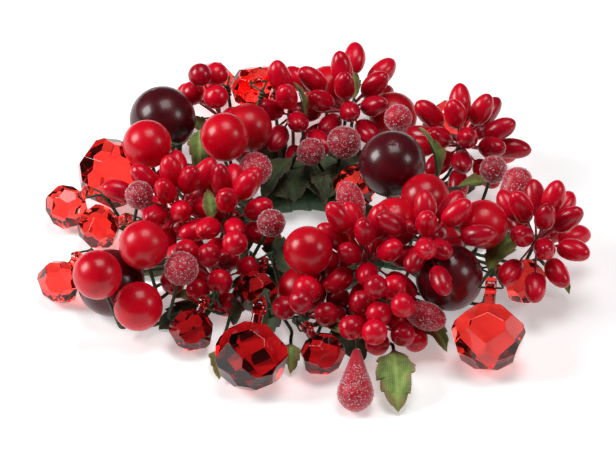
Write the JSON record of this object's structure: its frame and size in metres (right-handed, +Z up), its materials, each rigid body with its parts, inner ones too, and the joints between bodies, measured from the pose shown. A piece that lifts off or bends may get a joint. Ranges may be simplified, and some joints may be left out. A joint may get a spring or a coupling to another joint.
{
  "type": "candle ring",
  "caption": "Wired ring of red berries, sugared berries, pips, leaves and faceted drops that goes round the foot of a candle.",
  "frame": {"origin": "middle of the hoop, on the table that the ring lies on", "axes": "+Z up through the hoop; +Y towards the back of the picture, +X to its right"},
  "size_m": [0.1584, 0.1614, 0.0397],
  "materials": {
    "red_berry": "red lacquer, satin gloss",
    "dark_berry": "dark wine lacquer, satin gloss",
    "sugared": "red lacquer under clear sugar beads",
    "pip": "red lacquer, high gloss",
    "acrylic": "clear red acrylic, polished facets",
    "leaf": "woven green cloth with tan edges",
    "covered_wire": "green paper-covered wire",
    "tape": "waxed green crepe tape",
    "hoop_wire": "bare steel wire"
  },
  "bodies": {
    "ring": {"capsules_front": "sugared", "dark_berry_back_left": "dark_berry", "dark_berry_front_right": "dark_berry", "dark_berry_inner_right": "dark_berry", "dark_berry_left": "dark_berry", "hoop_wire": "hoop_wire", "leaves_back": "leaf", "leaves_centre": "leaf", "leaves_front": "leaf", "leaves_left": "leaf", "leaves_low": "leaf", "leaves_right": "leaf", "pick_stems_01": "covered_wire", "pick_stems_02": "covered_wire", "pick_stems_03": "covered_wire", "pick_stems_04": "covered_wire", "pick_stems_05": "covered_wire", "pick_stems_06": "covered_wire", "pick_stems_07": "covered_wire", "pick_stems_08": "covered_wire", "pick_stems_09": "covered_wire", "pick_stems_10": "covered_wire", "pick_stems_11": "covered_wire", "pick_stems_12": "covered_wire", "pips_back": "pip", "pips_back_left": "pip", "pips_back_middle": "pip", "pips_back_right": "pip", "pips_front": "pip", "pips_front_left": "pip", "pips_front_middle": "pip", "pips_front_right": "pip", "pips_inner_left": "pip", "pips_inner_right": "pip", "pips_left": "pip", "pips_right": "pip", "red_berries_back": "red_berry", "red_berries_front": "red_berry", "red_berries_left": "red_berry", "red_berries_right": "red_berry", "sugared_berries_back": "sugared", "sugared_berries_front": "sugared", "tape_wrap": "tape", "teardrops_back": "sugared", "teardrops_front": "sugared"},
    "drop_01": {"drop_01": "acrylic"},
    "drop_02": {"drop_02": "acrylic"},
    "drop_03": {"drop_03": "acrylic"},
    "drop_04": {"drop_04": "acrylic"},
    "drop_05": {"drop_05": "acrylic"},
    "drop_06": {"drop_06": "acrylic"},
    "drop_07": {"drop_07": "acrylic"},
    "drop_08": {"drop_08": "acrylic"},
    "drop_09": {"drop_09": "acrylic"},
    "drop_10": {"drop_10": "acrylic"},
    "drop_11": {"drop_11": "acrylic"},
    "drop_12": {"drop_12": "acrylic"},
    "drop_13": {"drop_13": "acrylic"},
    "drop_14": {"drop_14": "acrylic"},
    "drop_15": {"drop_15": "acrylic"}
  },
  "joints": [
    {"name": "drop_01_swing", "type": "hinge", "parent": "ring", "child": "drop_01", "pos_m": [0.03772, 0.05005, 0.01252], "axis": [0.7986, -0.6018, 0], "range_deg": [-50, 45]},
    {"name": "drop_02_swing", "type": "hinge", "parent": "ring", "child": "drop_02", "pos_m": [0.01758, 0.01816, 0.01956], "axis": [-0.788, 0.6157, 0], "range_deg": [-4, 4]},
    {"name": "drop_03_swing", "type": "hinge", "parent": "ring", "child": "drop_03", "pos_m": [-0.01068, 0.06743, 0.01252], "axis": [0.9877, 0.1564, 0], "range_deg": [-50, 45]},
    {"name": "drop_04_swing", "type": "hinge", "parent": "ring", "child": "drop_04", "pos_m": [-0.01466, 0.05267, 0.02244], "axis": [0.9659, 0.2588, 0], "range_deg": [-3, 45]},
    {"name": "drop_05_swing", "type": "hinge", "parent": "ring", "child": "drop_05", "pos_m": [-0.02561, 0.06673, 0.01412], "axis": [0.9336, 0.3584, 0], "range_deg": [-50, 45]},
    {"name": "drop_06_swing", "type": "hinge", "parent": "ring", "child": "drop_06", "pos_m": [-0.04577, 0.02508, 0.01878], "axis": [-0.1736, 0.9848, 0], "range_deg": [-35, 0]},
    {"name": "drop_07_swing", "type": "hinge", "parent": "ring", "child": "drop_07", "pos_m": [-0.06409, 0.0113, 0.01252], "axis": [0.1736, 0.9848, 0], "range_deg": [-15, 45]},
    {"name": "drop_08_swing", "type": "hinge", "parent": "ring", "child": "drop_08", "pos_m": [-0.05263, 0.00184, 0.00968], "axis": [0.0349, 0.9994, 0], "range_deg": [-45, 30]},
    {"name": "drop_09_swing", "type": "hinge", "parent": "ring", "child": "drop_09", "pos_m": [-0.06646, -0.0196, 0.01153], "axis": [-0.7071, 0.7071, 0], "range_deg": [-5, 45]},
    {"name": "drop_10_swing", "type": "hinge", "parent": "ring", "child": "drop_10", "pos_m": [-0.02975, -0.04249, 0.01252], "axis": [-0.8191, 0.5736, 0], "range_deg": [-30, 45]},
    {"name": "drop_11_swing", "type": "hinge", "parent": "ring", "child": "drop_11", "pos_m": [-0.01269, -0.03141, 0.01828], "axis": [-0.9272, 0.3746, 0], "range_deg": [-5, 45]},
    {"name": "drop_12_swing", "type": "hinge", "parent": "ring", "child": "drop_12", "pos_m": [-0.01385, -0.05556, 0.02018], "axis": [-0.9703, 0.2419, 0], "range_deg": [0, 45]},
    {"name": "drop_13_swing", "type": "hinge", "parent": "ring", "child": "drop_13", "pos_m": [-0.0002, -0.05472, 0.01252], "axis": [-0.7071, -0.7071, 0], "range_deg": [0, 15]},
    {"name": "drop_14_swing", "type": "hinge", "parent": "ring", "child": "drop_14", "pos_m": [0.05213, -0.04703, 0.02101], "axis": [-0.9962, 0.0872, 0], "range_deg": [-25, 45]},
    {"name": "drop_15_swing", "type": "hinge", "parent": "ring", "child": "drop_15", "pos_m": [0.05451, -0.02322, 0.00968], "axis": [-0.1736, -0.9848, 0], "range_deg": [-70, 0]}
  ]
}
